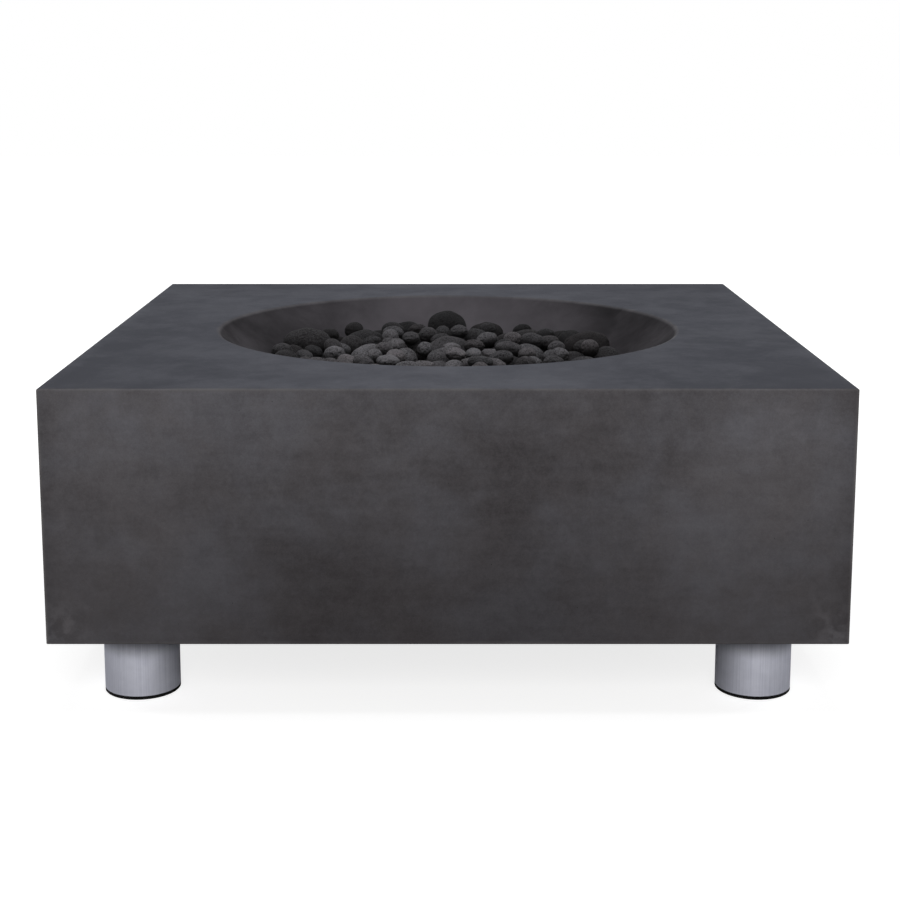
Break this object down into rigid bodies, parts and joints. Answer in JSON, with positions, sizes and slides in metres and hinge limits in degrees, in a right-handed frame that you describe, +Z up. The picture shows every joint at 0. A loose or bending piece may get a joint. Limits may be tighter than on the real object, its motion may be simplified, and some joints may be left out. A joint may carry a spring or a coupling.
{
  "type": "fire pit table",
  "caption": "Square concrete gas fire pit table with a round bowl of lava stones, a ring burner, a key valve and short round steel legs.",
  "frame": {"origin": "on the floor, under the middle of the table", "axes": "+Z up, -Y towards the front, +X to the right as seen from the front"},
  "size_m": [1.067, 1.067, 0.445],
  "materials": {
    "concrete": "matte cast concrete, cloudy charcoal grey",
    "leg_steel": "brushed along the tube",
    "pad_rubber": "matte black",
    "zinc_steel": "zinc plated",
    "burner_steel": "plain stainless sheet and tube",
    "brass": "machined brass",
    "line_aluminium": "drawn tube",
    "seat_plastic": "white seat plastic",
    "chrome": "polished",
    "seal_rubber": "black seal rubber",
    "lava": "porous tumbled lava stone"
  },
  "bodies": {
    "table": {"concrete_shell": "concrete", "leg_front_left": "leg_steel", "leg_front_right": "leg_steel", "leg_rear_left": "leg_steel", "leg_rear_right": "leg_steel", "foot_pad_front_left": "pad_rubber", "foot_pad_front_right": "pad_rubber", "foot_pad_rear_left": "pad_rubber", "foot_pad_rear_right": "pad_rubber", "leg_bolts": "zinc_steel", "leg_washers": "zinc_steel", "burner_pan": "burner_steel", "burner_ring": "burner_steel", "leg_inserts": "brass", "burner_lock_nut": "brass", "burner_elbow": "brass", "gas_orifice": "brass", "flare_nuts": "brass", "valve_body": "brass", "valve_end_cap": "brass", "valve_lock_nut": "brass", "inlet_elbow": "brass", "inlet_fitting": "brass", "gas_tube": "line_aluminium", "valve_seats": "seat_plastic", "valve_flange": "chrome", "lava_bed": "lava", "lava_stones_large": "lava", "lava_stones_lower": "lava", "lava_stones_top": "lava"},
    "key_spindle": {"valve_stem": "brass", "valve_ball": "chrome", "stem_o_rings": "seal_rubber"}
  },
  "joints": [
    {"name": "valve_turn", "type": "hinge", "parent": "table", "child": "key_spindle", "pos_m": [0, 0.4695, 0.24532], "axis": [0, 1, 0], "range_deg": [0, 90]}
  ]
}
